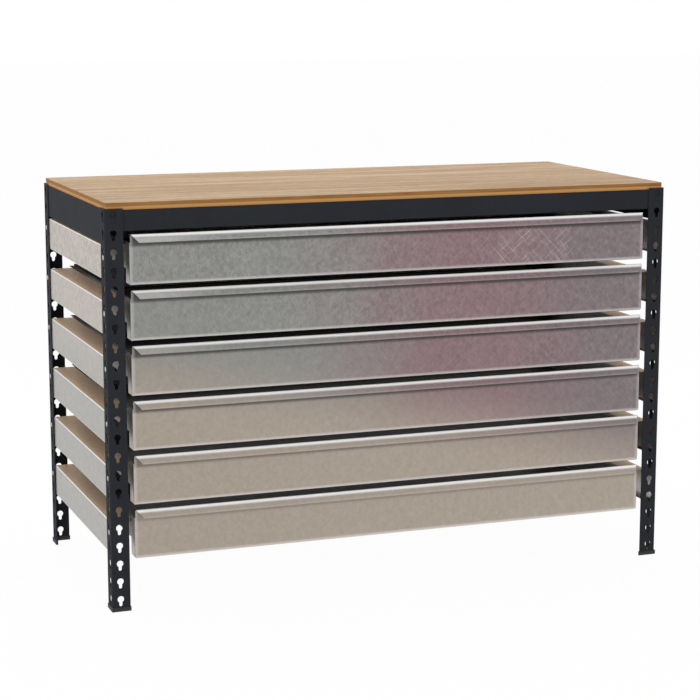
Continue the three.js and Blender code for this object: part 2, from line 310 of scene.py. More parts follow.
def surface(points, keep=None):
    """A grid of points as (points, quads); keep says which of its quads are there."""
    quads = grid_quads(*points.shape[:2])
    if keep is not None:
        quads = quads[keep]
    return points.reshape(-1, 3), quads.reshape(-1, 4)


def together(surfaces):
    """Several (points, quads) as one, with the later quads counted on from the earlier points."""
    starts = np.cumsum([0] + [len(points) for points, _ in surfaces[:-1]])
    points = np.concatenate([points for points, _ in surfaces])
    quads = np.concatenate([quads + start for (_, quads), start in zip(surfaces, starts)])
    return points, quads


def padded_mark(values, points):
    """Values of the first points of a shell, with 0 for the points that follow."""
    return np.pad(values.ravel(), (0, len(points) - values.size))


def mesh_object(name, points, quads, marks=None):
    """A mesh object at the origin, with points that lie on each other merged and unused ones dropped.

    Marks are named values of the points, from 0 to 1, that the finishes read.
    """
    mesh = bpy.data.meshes.new(name)
    mesh.from_pydata(points, [], quads.tolist())
    for mark, values in (marks or {}).items():
        layer = mesh.attributes.new(mark, "FLOAT", "POINT")
        layer.data.foreach_set("value", values.ravel().astype(np.float32))
    edit = bmesh.new()
    edit.from_mesh(mesh)
    bmesh.ops.remove_doubles(edit, verts=edit.verts, dist=MERGE_DISTANCE)
    loose = [vert for vert in edit.verts if not vert.link_faces]
    bmesh.ops.delete(edit, geom=loose, context="VERTS")
    bmesh.ops.recalc_face_normals(edit, faces=edit.faces)
    edit.to_mesh(mesh)
    edit.free()
    piece = bpy.data.objects.new(name, mesh)
    bpy.context.scene.collection.objects.link(piece)
    return piece


def thicken(piece, thickness):
    """Gives an open sheet its thickness, half to each side, and keeps the result as the piece's mesh."""
    solidify = piece.modifiers.new("sheet", "SOLIDIFY")
    solidify.thickness = thickness
    solidify.offset = 0
    solidify.use_even_offset = True
    depsgraph = bpy.context.evaluated_depsgraph_get()
    solid = bpy.data.meshes.new_from_object(piece.evaluated_get(depsgraph))
    piece.modifiers.clear()
    piece.data = solid


def add_shell(piece, shell):
    """Joins a closed shell, such as a row of rivet heads, to a piece's mesh."""
    extra = mesh_object(piece.name + "_extra", *shell)
    edit = bmesh.new()
    edit.from_mesh(piece.data)
    edit.from_mesh(extra.data)
    edit.to_mesh(piece.data)
    edit.free()
    bpy.data.objects.remove(extra)


def finish_piece(piece, body, material, replaced):
    """Smooth shading up to the sharp angle, the finish, and the body that carries the piece."""
    mesh = piece.data
    mesh.shade_smooth()
    mesh.set_sharp_from_angle(angle=SHARP_EDGE)
    mesh.materials.clear()
    mesh.materials.append(material)
    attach(piece, body)
    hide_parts(replaced)


# Sections of folded sheet

def folded(corners, thickness, inner_bend):
    """Middle line of a sheet folded along a path, as rows of (first, second, bend).

    The path is one face and the thickness lies to its left. Each fold is an arc that touches both legs
    at radius * tan(turn / 2) from the corner; the middle line is the face moved by half the thickness.
    Bend is 0 on the flat legs and rises as a half sine over each fold.
    """
    corners = np.asarray(corners, float)
    legs = np.diff(corners, axis=0)
    heading = np.arctan2(legs[:, 1], legs[:, 0])
    turn = np.diff(heading)
    turn = np.arctan2(np.sin(turn), np.cos(turn))
    side = np.sign(turn)
    radius = np.where(side > 0, inner_bend + thickness, inner_bend)
    setback = radius * np.tan(np.abs(turn) / 2)
    along = np.stack([np.cos(heading), np.sin(heading)], axis=-1)
    left = np.stack([-np.sin(heading), np.cos(heading)], axis=-1)
    centre = corners[1:-1] - along[:-1] * setback[:, None] + left[:-1] * (side * radius)[:, None]
    share = np.linspace(0, 1, BEND_STEPS + 1)
    angle = heading[:-1, None] + turn[:, None] * share
    normal = np.stack([-np.sin(angle), np.cos(angle)], axis=-1)
    arcs = centre[:, None] + normal * (thickness / 2 - side * radius)[:, None, None]
    first = corners[:1] + left[:1] * thickness / 2
    last = corners[-1:] + left[-1:] * thickness / 2
    path = np.concatenate([first, arcs.reshape(-1, 2), last])
    bend = np.concatenate([[0], np.tile(np.sin(math.pi * share), len(arcs)), [0]])
    return np.column_stack([path, bend])


def divided(path, longest):
    """The path with each long leg cut into equal parts no longer than the given length."""
    lengths = np.linalg.norm(np.diff(path[:, :2], axis=0), axis=1)
    counts = np.maximum(1, np.ceil(lengths / longest).astype(int))
    legs = [np.linspace(a, b, n, endpoint=False) for a, b, n in zip(path[:-1], path[1:], counts)]
    return np.concatenate(legs + [path[-1:]])


def with_levels(path, axis, levels):
    """The path with points added where its straight legs cross the given levels of one coordinate."""
    for level in levels:
        low = np.minimum(path[:-1, axis], path[1:, axis])
        high = np.maximum(path[:-1, axis], path[1:, axis])
        leg = int(np.argmax((low < level) & (high > level)))
        share = (level - path[leg, axis]) / (path[leg + 1, axis] - path[leg, axis])
        point = path[leg] + share * (path[leg + 1] - path[leg])
        path = np.insert(path, leg + 1, point, axis=0)
    return path


def flat_plate(xs, ys, zs):
    """A flat rectangle between two values of each coordinate; the one that doesn't change is given once."""
    plate = np.empty((2, 2, 3))
    plate[..., 0] = xs
    plate[..., 1] = np.reshape(ys, (-1, 1))
    plate[..., 2] = np.reshape(zs, (-1, 1))
    return surface(plate)


def falloff(distance, full, fade):
    """1 up to the full distance, then down to 0 over the fade as half a cosine wave."""
    share = np.clip((distance - full) / fade, 0, 1)
    return (1 + np.cos(math.pi * share)) / 2


# Rivets

def rivet_heights(low, high):
    """Heights of the lower ends of the keyholes that lie between two edges of a sheet."""
    first = KEYHOLE_FIRST - KEYHOLE_LENGTH / 2 + KEYHOLE_SLOT / 2
    heights = first + KEYHOLE_PITCH * np.arange(1 + int(high / KEYHOLE_PITCH))
    return heights[(heights > low + RIVET_EDGE) & (heights < high - RIVET_EDGE)]


def rivet_heads(centres, outward):
    """Domed heads: a quarter ellipse swept round the outward axis at each centre, with a flat back."""
    rise = np.linspace(0, math.pi / 2, RIVET_RINGS)
    radius = np.concatenate([[0], RIVET_HEAD / 2 * np.cos(rise)])
    height = np.concatenate([[0], RIVET_DOME * np.sin(rise)])
    around = np.linspace(0, 2 * math.pi, RIVET_SIDES + 1)
    across = np.cross(outward, (0, 0, 1))
    ring = np.cos(around)[:, None] * across + np.sin(around)[:, None] * np.array((0, 0, 1))
    dome = radius[:, None, None] * ring + height[:, None, None] * np.asarray(outward, float)
    return together([surface(dome + np.asarray(centre)) for centre in centres])


# Posts

def keyhole_radius(direction):
    """Distance from the round end's centre to the keyhole's rim along each direction.

    It is the larger of the circle and the slot: the slot's side is half its width over the sideways part
    of the direction, down to the slot's round end, which is a circle further down.
    """
    round_radius = KEYHOLE_ROUND / 2
    slot_radius = KEYHOLE_SLOT / 2
    drop = KEYHOLE_LENGTH - round_radius - slot_radius
    sideways = np.maximum(np.abs(direction[..., 0]), SMALLEST)
    down = -direction[..., 1]
    side = slot_radius / sideways
    toward = np.maximum(down, 0) * drop
    end = toward + np.sqrt(np.maximum(slot_radius**2 - drop**2 + toward**2, 0))
    slot = np.where(side * down < drop, side, end)
    return np.where(down > 0, np.maximum(round_radius, slot), round_radius)


def flange_plate(inner, outer, low, high):
    """A strip (across, up) with one keyhole in each cell of the pitch, and the heights along its edge.

    Each cell is a ring: evenly spaced points on its border, joined to the points where the rays from the
    keyhole's centre through them cross the keyhole's rim.
    """
    count = 1 + int((high - KEYHOLE_LENGTH / 2 - KEYHOLE_MARGIN - KEYHOLE_FIRST) / KEYHOLE_PITCH)
    middle = KEYHOLE_FIRST + KEYHOLE_PITCH * np.arange(count)
    floor = np.concatenate([[low], middle[1:] - KEYHOLE_PITCH / 2])
    ceiling = np.concatenate([middle[:-1] + KEYHOLE_PITCH / 2, [high]])
    step = np.arange(CELL_SIDE_STEPS) / CELL_SIDE_STEPS
    flat = np.zeros(CELL_SIDE_STEPS)
    across = np.concatenate([step, flat + 1, 1 - step, flat, [0]])
    upward = np.concatenate([flat, step, flat + 1, 1 - step, [0]])
    border = np.empty((count, across.size, 2))
    border[..., 0] = inner + across * (outer - inner)
    border[..., 1] = floor[:, None] + upward * (ceiling - floor)[:, None]
    centre = np.empty((count, 1, 2))
    centre[..., 0] = KEYHOLE_INSET
    centre[..., 1] = (middle + KEYHOLE_LENGTH / 2 - KEYHOLE_ROUND / 2)[:, None]
    ray = border - centre
    ray /= np.linalg.norm(ray, axis=-1, keepdims=True)
    rim = centre + ray * keyhole_radius(ray)[..., None]
    edge_heights = np.append(floor[:, None] + step * (ceiling - floor)[:, None], ceiling)
    return np.stack([border, rim], axis=1), np.unique(np.round(edge_heights, HEIGHT_DIGITS))


def post_sheet(corner, directions, low, high, flange):
    """The angle post: two flange plates and the quarter-circle bend between them, as one middle surface."""
    bend = POST_BEND + POST_SHEET
    cells, heights = flange_plate(bend, flange, low, high)
    middle = np.full(cells.shape[:-1], POST_SHEET / 2)
    along_x = np.stack([cells[..., 0], middle, cells[..., 1]], axis=-1)
    along_y = np.stack([middle, cells[..., 0], cells[..., 1]], axis=-1)
    angle = np.linspace(math.pi, 1.5 * math.pi, BEND_STEPS + 1)
    radius = bend - POST_SHEET / 2
    arc = bend + radius * np.stack([np.cos(angle), np.sin(angle)], axis=-1)
    corner_strip = np.empty((heights.size, angle.size, 3))
    corner_strip[..., :2] = arc
    corner_strip[..., 2] = heights[:, None]
    parts = [surface(cell) for cell in np.concatenate([along_x, along_y])] + [surface(corner_strip)]
    points, quads = together(parts)
    place = np.array([corner[0], corner[1], 0])
    return place + points * np.array([*directions, 1]), quads


def make_posts(material):
    """Four posts, each turned so that its flanges point into the bench."""
    for name, directions in CORNERS.items():
        node = "post_" + name
        low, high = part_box(node)
        corner = [low[axis] if directions[axis] > 0 else high[axis] for axis in (0, 1)]
        sheet = post_sheet(corner, directions, low.z, high.z, high.x - low.x)
        piece = mesh_object("angle_" + node, *sheet)
        thicken(piece, POST_SHEET)
        finish_piece(piece, "frame", material, node)


# Beams and runners: sections that run between the posts, with tongues hooked behind them

def hooked_sheet(section, end, span, tongue):
    """A folded section (inward, up) carried along a side of the bench, with the bend at its points.

    Between the posts the whole section is there; behind them, out to the end's distance from the corner,
    only the web between the tongue's two heights.
    """
    section = with_levels(section, 1, tongue)
    along = np.array([end, section_start, span - section_start, span - end])
    points = np.empty((along.size, len(section), 3))
    points[..., 0] = section[:, 0]
    points[..., 1] = along[:, None]
    points[..., 2] = section[:, 1]
    middle = (section[1:] + section[:-1]) / 2
    upright = np.abs(section[1:, 0] - section[:-1, 0]) < MERGE_DISTANCE
    web = upright & (middle[:, 1] > tongue[0]) & (middle[:, 1] < tongue[1])
    keep = np.stack([web, np.ones_like(web), web])
    bend = np.broadcast_to(section[:, 2], points.shape[:2])
    return surface(points, keep), bend


def turned(shell, origin, inward, along):
    """Moves a shell drawn as (inward, along, up) to its side of the bench."""
    points, quads = shell
    axes = np.array([inward, along, (0, 0, 1)], float)
    return np.asarray(origin) + points @ axes, quads


def side_frames():
    """For each side: its outer corner, the inward direction, the direction along it, and its length."""
    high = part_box("post_back_right")[1]
    width = high.x - post_low.x
    depth = high.y - post_low.y
    return {
        "left": ((post_low.x, post_low.y, 0), (1, 0, 0), (0, 1, 0), depth),
        "right": ((high.x, post_low.y, 0), (-1, 0, 0), (0, 1, 0), depth),
        "front": ((post_low.x, post_low.y, 0), (0, 1, 0), (1, 0, 0), width),
        "back": ((post_low.x, high.y, 0), (0, -1, 0), (1, 0, 0), width),
    }


def hooked_rivets(side, low, high):
    """Rivet heads of one beam or runner, outside the posts' flanges at both ends."""
    origin, inward, along, span = side
    heights = rivet_heights(low, high)
    ends = np.repeat([KEYHOLE_INSET, span - KEYHOLE_INSET], heights.size)
    local = np.stack([np.full(ends.size, -FIT_GAP), ends, np.tile(heights, 2)], axis=-1)
    centres = np.asarray(origin) + local @ np.array([inward, along, (0, 0, 1)], float)
    return rivet_heads(centres, -np.array(inward))


def make_beams(material):
    """Beams: a web with a hem below, and a ledge for the board welded inside."""
    for name, side in side_frames().items():
        node = "beam_" + name
        low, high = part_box(node)
        origin, inward, along, span = side
        section = folded(
            [(tongue_face, high.z), (tongue_face, low.z), (tongue_face + BEAM_HEM, low.z)],
            BEAM_SHEET, BEAM_BEND)
        ledge_top = high.z - BEAM_LIP - FIT_GAP
        foot = low.z + BEAM_SHEET + TONGUE_MARGIN
        end = (low - post_low)[0 if along[0] else 1]
        web, _ = hooked_sheet(section, end, span, (foot, high.z - BEAM_TONGUE_DROP))
        ledge = flat_plate(
            (tongue_face + BEAM_SHEET / 2, tongue_face + BEAM_LEDGE),
            (section_start, span - section_start), ledge_top - BEAM_SHEET / 2)
        shell = turned(together([web, ledge]), origin, inward, along)
        piece = mesh_object("folded_" + node, *shell)
        thicken(piece, BEAM_SHEET)
        add_shell(piece, hooked_rivets(side, foot, ledge_top - BEAM_SHEET - TONGUE_MARGIN))
        finish_piece(piece, "frame", material, node)


def make_runners(material):
    """Runners: a web with a wide flange on top and a narrow one below, and a stop at the front end."""
    sides = side_frames()
    for hand in ("left", "right"):
        side = sides[hand]
        origin, inward, along, span = side
        for level in LEVELS:
            node = f"runner_{hand}_{level}"
            low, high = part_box(node)
            reach = high.x - post_low.x if hand == "left" else -post_low.x - low.x
            section = folded(
                [(reach, high.z), (tongue_face, high.z), (tongue_face, low.z),
                 (tongue_face + RUNNER_LOW_FLANGE, low.z)],
                RUNNER_SHEET, RUNNER_BEND)
            tongue = (low.z + RUNNER_SHEET + TONGUE_MARGIN, high.z - RUNNER_SHEET - TONGUE_MARGIN)
            web, bend = hooked_sheet(section, low.y - post_low.y, span, tongue)
            stop = flat_plate(
                (section_start - FIT_GAP, reach - RUNNER_STOP_INSET),
                section_start + WELD_LAP + RUNNER_SHEET / 2,
                (high.z - RUNNER_STOP_DROP, high.z - RUNNER_SHEET / 2))
            shell = turned(together([web, stop]), origin, inward, along)
            # Painted highlight along the runner's folds
            marks = {"polish": padded_mark(bend, shell[0])}
            piece = mesh_object("folded_" + node, *shell, marks)
            thicken(piece, RUNNER_SHEET)
            add_shell(piece, hooked_rivets(side, *tongue))
            finish_piece(piece, "frame", material, node)


# Drawers

def sheet_waves(x, z):
    """Shallow waves of thin sheet: a sum of three sines across, each shifted with the height."""
    heights = [strength * np.sin(across * x + up * z + shift) for strength, across, up, shift in WAVES]
    return WAVE_DEPTH * sum(heights) / sum(wave[0] for wave in WAVES)


def face_weight(points, foot, top, half):
    """1 in the middle of the face and 0 at its folded edges: the root of a product of two sine arches."""
    up = np.clip((points[..., 2] - foot) / (top - foot), 0, 1)
    side = np.clip((points[..., 0] + half) / (2 * half), 0, 1)
    return np.sqrt(np.sin(math.pi * up).clip(0) * np.sin(math.pi * side).clip(0))


def front_light_and_wear(points, on_face, on_lip, foot, top, half, level):
    """Marks of a front, each a falloff of the distance from an edge or a place: painted light, and real
    wear.

    The painted highlight is the strongest of five: the lip's top, its edge, its left end on the upper
    drawers, the hem and the sides. Painted shadow lies under the lip. The scuff, real wear, is a band
    across the face of one drawer.
    """
    drop = top - points[..., 2]
    from_left = points[..., 0] + half
    from_side = half - np.abs(points[..., 0])
    end_sheen = LIP_END_SHEEN * falloff(level, LIP_END_LEVELS, LIP_END_LEVELS_FADE)
    # Painted highlights of the lip's top, its edge, its left end, the hem and the sides
    highlight_bands = [
        falloff(drop, LIP_HIGHLIGHT_WIDTH, LIP_SHEEN) * on_lip,
        LIP_EDGE_SHEEN * falloff(LIP_DROP - drop, 0, LIP_SHEEN) * on_lip,
        end_sheen * falloff(from_left, LIP_END_HIGHLIGHT_LENGTH, LIP_END_FADE) * on_lip,
        HEM_SHEEN * falloff(points[..., 2] - foot, HEM_HIGHLIGHT_WIDTH, HEM_FADE) * ~on_lip,
        SIDE_SHEEN * falloff(from_side, SIDE_HIGHLIGHT_WIDTH, SIDE_FADE) * on_face,
    ]
    # Painted shadow under the lip
    grime = falloff(drop, LIP_SHADE_START, LIP_SHADE) * on_face
    scuff = falloff(np.abs(points[..., 0] - SCUFF_X), SCUFF_FULL, SCUFF_FADE) * on_face
    return {"polish": np.max(highlight_bands, axis=0), "grime": grime, "scuff": scuff * (level == SCUFF_LEVEL)}


def front_sheet(low, high, level):
    """A drawer front as one sheet: position(s, t) = (plan x(t), profile y(s) + plan y(t), profile z(s)).

    The profile runs from the lip's edge over the top fold, down the face and round the hem. The plan runs
    from one side return across the face to the other. Lip and hem have no returns, the returns stop below
    the lip, and the lip narrows with its drop, which mitres its ends.
    """
    half = high.x
    face_y = high.y - FRONT_RETURN
    bend = FRONT_BEND + FRONT_SHEET
    top = low.z + front_height
    profile = folded(
        [(-LIP_REACH, top - LIP_DROP), (0, top), (0, low.z), (FRONT_HEM, low.z)], FRONT_SHEET, FRONT_BEND)
    profile = divided(profile, FRONT_ROW)
    plan = folded(
        [(-half, FRONT_RETURN), (-half, 0), (half, 0), (half, FRONT_RETURN)], FRONT_SHEET, FRONT_BEND)
    # Where the painted side highlights end, as distances from each side
    highlight_bands = np.array([SIDE_HIGHLIGHT_WIDTH, SIDE_HIGHLIGHT_WIDTH + SIDE_FADE])
    plan = with_levels(plan, 0, [*(highlight_bands - half), *(half - highlight_bands)])
    plan = divided(plan, FRONT_COLUMN)
    middle = FRONT_SHEET / 2
    on_face = np.abs(profile[:, 0] - middle) < MERGE_DISTANCE
    on_lip = ~on_face & (profile[:, 1] > (low.z + top) / 2)
    below_lip = profile[:, 1] < top - LIP_DROP
    across = np.abs(plan[:, 0]) < half - bend + MERGE_DISTANCE
    narrowing = np.where(on_lip, 1 + (profile[:, 1] - top) * LIP_MITRE / LIP_DROP / (half - bend), 1)
    points = np.empty((len(profile), len(plan), 3))
    points[..., 0] = plan[:, 0] * np.where(across, narrowing[:, None], 1)
    points[..., 1] = face_y + profile[:, 0][:, None] + np.where(across, 0, plan[:, 1] - middle)
    points[..., 2] = profile[:, 1][:, None]
    bulge = sheet_waves(points[..., 0], points[..., 2]) * face_weight(points, low.z, top, half)
    points[..., 1] += np.where(on_face[:, None] & across, bulge, 0)
    row_on_face = on_face[1:] & on_face[:-1]
    row_below = row_on_face & below_lip[1:] & below_lip[:-1]
    column_across = across[1:] & across[:-1]
    keep = column_across | row_below[:, None]
    marks = front_light_and_wear(points, on_face[:, None], on_lip[:, None], low.z, top, half, level)
    return surface(points, keep), marks


def tray_sheet(low, high):
    """A tray: a trough with hanging flanges carried along the depth, and walls across its two ends.

    An ear on each side runs under the runner's flange and meets its stop past the end of the travel. The
    shade mark is 1 over the rear of the trough and falls off to the front.
    """
    floor = low.z
    hangs = floor + TRAY_DEPTH
    wall = -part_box("runner_left_1")[1].x - TRAY_SIDE_GAP
    section = folded(
        [(-high.x, hangs), (-wall, hangs), (-wall, floor), (wall, floor), (wall, hangs), (high.x, hangs)],
        TRAY_SHEET, TRAY_BEND)
    fading = TRAY_SHADE_FULL + np.linspace(TRAY_SHADE_FADE, 0, TRAY_SHADE_ROWS)
    behind = np.concatenate([[high.y - low.y], fading, [0]])
    trough = np.empty((len(behind), len(section), 3))
    trough[..., 0] = section[:, 0]
    trough[..., 1] = high.y - behind[:, None]
    trough[..., 2] = section[:, 1]
    shade = falloff(behind, TRAY_SHADE_FULL, TRAY_SHADE_FADE)[:, None]
    edge = wall - TRAY_SHEET / 2
    inset = WELD_LAP + TRAY_SHEET / 2
    foot = floor + TRAY_SHEET / 2
    front_wall = flat_plate((-edge, edge), low.y + inset, (foot, hangs + TRAY_SHEET / 2))
    back_wall = flat_plate((-edge, edge), high.y - inset, (foot, high.z))
    stop = post_low.y + section_start + WELD_LAP + RUNNER_SHEET
    ear_front = stop + DRAWER_TRAVEL + STOP_SPARE
    ear_z = hangs - FIT_GAP - RUNNER_SHEET - TRAY_EAR_DROP - TRAY_SHEET / 2
    ear_y = (ear_front, ear_front + TRAY_EAR_LENGTH)
    ears = [flat_plate((side * edge, side * high.x), ear_y, ear_z) for side in (-1, 1)]
    shell = together([surface(trough), front_wall, back_wall, *ears])
    return shell, {"shade": padded_mark(np.broadcast_to(shade, trough.shape[:2]), shell[0])}


def make_drawers(front_material, tray_material):
    """Six drawers: each front and each tray rides on its own drawer."""
    for level in LEVELS:
        body = f"drawer_{level}"
        front = f"drawer_front_{level}"
        sheet, marks = front_sheet(*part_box(front), level)
        piece = mesh_object("folded_" + front, *sheet, marks)
        thicken(piece, FRONT_SHEET)
        finish_piece(piece, body, front_material, front)
        tray = f"drawer_tray_{level}"
        sheet, marks = tray_sheet(*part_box(tray))
        piece = mesh_object("folded_" + tray, *sheet, marks)
        thicken(piece, TRAY_SHEET)
        finish_piece(piece, body, tray_material, tray)


# Worktop

def board_rings(low, high):
    """A board with rounded edges: rings of a rounded rectangle, one above the other.

    At the lower and the upper edge the rings are drawn in and raised along a quarter circle.
    """
    angle = np.linspace(0, math.pi / 2, BEND_STEPS + 1)
    inset = BOARD_EDGE * np.concatenate([1 - np.sin(angle), 1 - np.cos(angle)])
    lower = low.z + BOARD_EDGE * (1 - np.cos(angle))
    upper = high.z - BOARD_EDGE * (1 - np.sin(angle))
    height = np.concatenate([lower, upper])
    quarter = np.array([0, 1, 2, 3])[:, None] * math.pi / 2 + angle
    sign_x = np.array([1, -1, -1, 1])[:, None]
    sign_y = np.array([1, 1, -1, -1])[:, None]
    half_x = (high.x - low.x) / 2 - BOARD_CORNER
    half_y = (high.y - low.y) / 2 - BOARD_CORNER
    round_corner = (BOARD_CORNER - inset)[:, None]
    x = (sign_x * half_x + 0 * quarter).ravel() + round_corner * np.cos(quarter).ravel()
    y = (sign_y * half_y + 0 * quarter).ravel() + round_corner * np.sin(quarter).ravel()
    rings = np.stack([x, y + (low.y + high.y) / 2, np.broadcast_to(height[:, None], x.shape)], axis=-1)
    return np.concatenate([rings, rings[:, :1]], axis=1)


def make_board(material):
    """The worktop board: its rings, closed by a flat face at the bottom and at the top."""
    piece = mesh_object("solid_worktop_board", *surface(board_rings(*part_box("worktop_board"))))
    edit = bmesh.new()
    edit.from_mesh(piece.data)
    open_edges = [edge for edge in edit.edges if edge.is_boundary]
    bmesh.ops.holes_fill(edit, edges=open_edges)
    bmesh.ops.recalc_face_normals(edit, faces=edit.faces)
    edit.to_mesh(piece.data)
    edit.free()
    finish_piece(piece, "frame", material, "worktop_board")


# Finishes

def set_range(node, low, high, out_low, out_high):
    """Sets the two ranges of a Map Range node."""
    numbers = {"From Min": low, "From Max": high, "To Min": out_low, "To Max": out_high}
    for name, number in numbers.items():
        node.inputs[name].default_value = number


class Finish:
    """A material's node tree, with short calls for its nodes. Patterns read Object coordinates in metres."""

    def __init__(self, name):
        self.material = bpy.data.materials.new(name)
        self.material.use_nodes = True
        self.tree = self.material.node_tree
        self.shader = self.tree.nodes["Principled BSDF"]
        self.place = self.tree.nodes.new("ShaderNodeTexCoord").outputs["Object"]

    def link(self, source, target):
        self.tree.links.new(source, target)

    def number(self, name, value):
        """A value of the shader that is the same all over."""
        self.shader.inputs[name].default_value = value

    def pattern(self, name, value):
        """A value of the shader that follows other nodes."""
        self.link(value, self.shader.inputs[name])

    def stretched(self, scale, turn=(0, 0, 0)):
        """Object coordinates turned and then scaled, so that a pattern is drawn out along a direction."""
        mapping = self.tree.nodes.new("ShaderNodeMapping")
        mapping.vector_type = "TEXTURE"
        mapping.inputs["Rotation"].default_value = turn
        mapping.inputs["Scale"].default_value = [1 / factor for factor in scale]
        self.link(self.place, mapping.inputs["Vector"])
        return mapping.outputs["Vector"]

    def noise(self, place, scale, detail=3.0, roughness=0.55, distortion=0.0):
        node = self.tree.nodes.new("ShaderNodeTexNoise")
        node.inputs["Scale"].default_value = scale
        node.inputs["Detail"].default_value = detail
        node.inputs["Roughness"].default_value = roughness
        node.inputs["Distortion"].default_value = distortion
        self.link(place, node.inputs["Vector"])
        return node.outputs["Fac"]

    def cells(self, place, scale):
        """A random value for each cell of a Voronoi pattern."""
        node = self.tree.nodes.new("ShaderNodeTexVoronoi")
        node.inputs["Scale"].default_value = scale
        self.link(place, node.inputs["Vector"])
        split = self.tree.nodes.new("ShaderNodeSeparateColor")
        self.link(node.outputs["Color"], split.inputs["Color"])
        return split.outputs["Red"]

    def mark(self, name):
        """A named value of the mesh's points."""
        node = self.tree.nodes.new("ShaderNodeAttribute")
        node.attribute_name = name
        return node.outputs["Fac"]

    def part(self, vector, letter):
        node = self.tree.nodes.new("ShaderNodeSeparateXYZ")
        self.link(vector, node.inputs["Vector"])
        return node.outputs[letter]

    def axis(self, letter):
        """One of the Object coordinates."""
        return self.part(self.place, letter)

    def upward(self):
        """How far the surface faces up: 1 on top, 0 where it stands and -1 below."""
        geometry = self.tree.nodes.new("ShaderNodeNewGeometry")
        return self.part(geometry.outputs["Normal"], "Z")

    def ramp(self, value, low, high, out_low=0.0, out_high=1.0):
        """The value's range from low to high carried smoothly to another range."""
        node = self.tree.nodes.new("ShaderNodeMapRange")
        node.interpolation_type = "SMOOTHSTEP"
        set_range(node, low, high, out_low, out_high)
        self.link(value, node.inputs["Value"])
        return node.outputs["Result"]

    def math(self, operation, first, second):
        node = self.tree.nodes.new("ShaderNodeMath")
        node.operation = operation
        for socket, value in zip(node.inputs, (first, second)):
            if isinstance(value, (int, float)):
                socket.default_value = value
            else:
                self.link(value, socket)
        return node.outputs["Value"]

    def mix(self, share, first, second, blend="MIX"):
        """Two colours mixed by a share; each may be a colour or another node's output."""
        node = self.tree.nodes.new("ShaderNodeMix")
        node.data_type = "RGBA"
        node.blend_type = blend
        factor, a, b = node.inputs[0], node.inputs[6], node.inputs[7]
        for socket, value in ((factor, share), (a, first), (b, second)):
            if isinstance(value, (int, float)):
                socket.default_value = value
            elif isinstance(value, tuple):
                socket.default_value = (*value, 1.0)
            else:
                self.link(value, socket)
        return node.outputs[2]

    def grey(self, value):
        """One value in all three channels of a colour."""
        node = self.tree.nodes.new("ShaderNodeCombineColor")
        for channel in ("Red", "Green", "Blue"):
            self.link(value, node.inputs[channel])
        return node.outputs["Color"]

    def bump(self, height, depth):
        node = self.tree.nodes.new("ShaderNodeBump")
        node.inputs["Strength"].default_value = 1.0
        node.inputs["Distance"].default_value = depth
        self.link(height, node.inputs["Height"])
        self.pattern("Normal", node.outputs["Normal"])


def painted_steel():
    """Anthracite powder coat: orange-peel bump, faint clouding and dust that is a little lighter."""
    finish = Finish("painted_steel")
    cloud = finish.noise(finish.place, PAINT_CLOUDS)
    peel = finish.noise(finish.place, PAINT_PEEL, detail=2.0)
    specks = finish.noise(finish.place, PAINT_DUST_SPECKS, detail=5.0)
    dust = finish.math("MULTIPLY", finish.ramp(specks, *PAINT_DUST_RANGE), PAINT_DUST_SHARE)
    base = finish.mix(cloud, PAINT_DARK, PAINT_LIGHT)
    finish.pattern("Base Color", finish.mix(dust, base, PAINT_DUST))
    finish.pattern("Roughness", finish.ramp(peel, *SOFT, *PAINT_ROUGHNESS))
    finish.number("Specular IOR Level", PAINT_GLOSS)
    finish.bump(peel, PAINT_RELIEF)
    return finish.material


def scratches(finish):
    """Crossing scratches: the peaks of two noises, each drawn out along its own slant."""
    sets = []
    for stretch, turn, shown in SCRATCHES:
        slant = finish.stretched(stretch, (0, math.radians(turn), 0))
        sets.append(finish.ramp(finish.noise(slant, 1.0, detail=1.0), *shown))
    return finish.math("ADD", *sets)


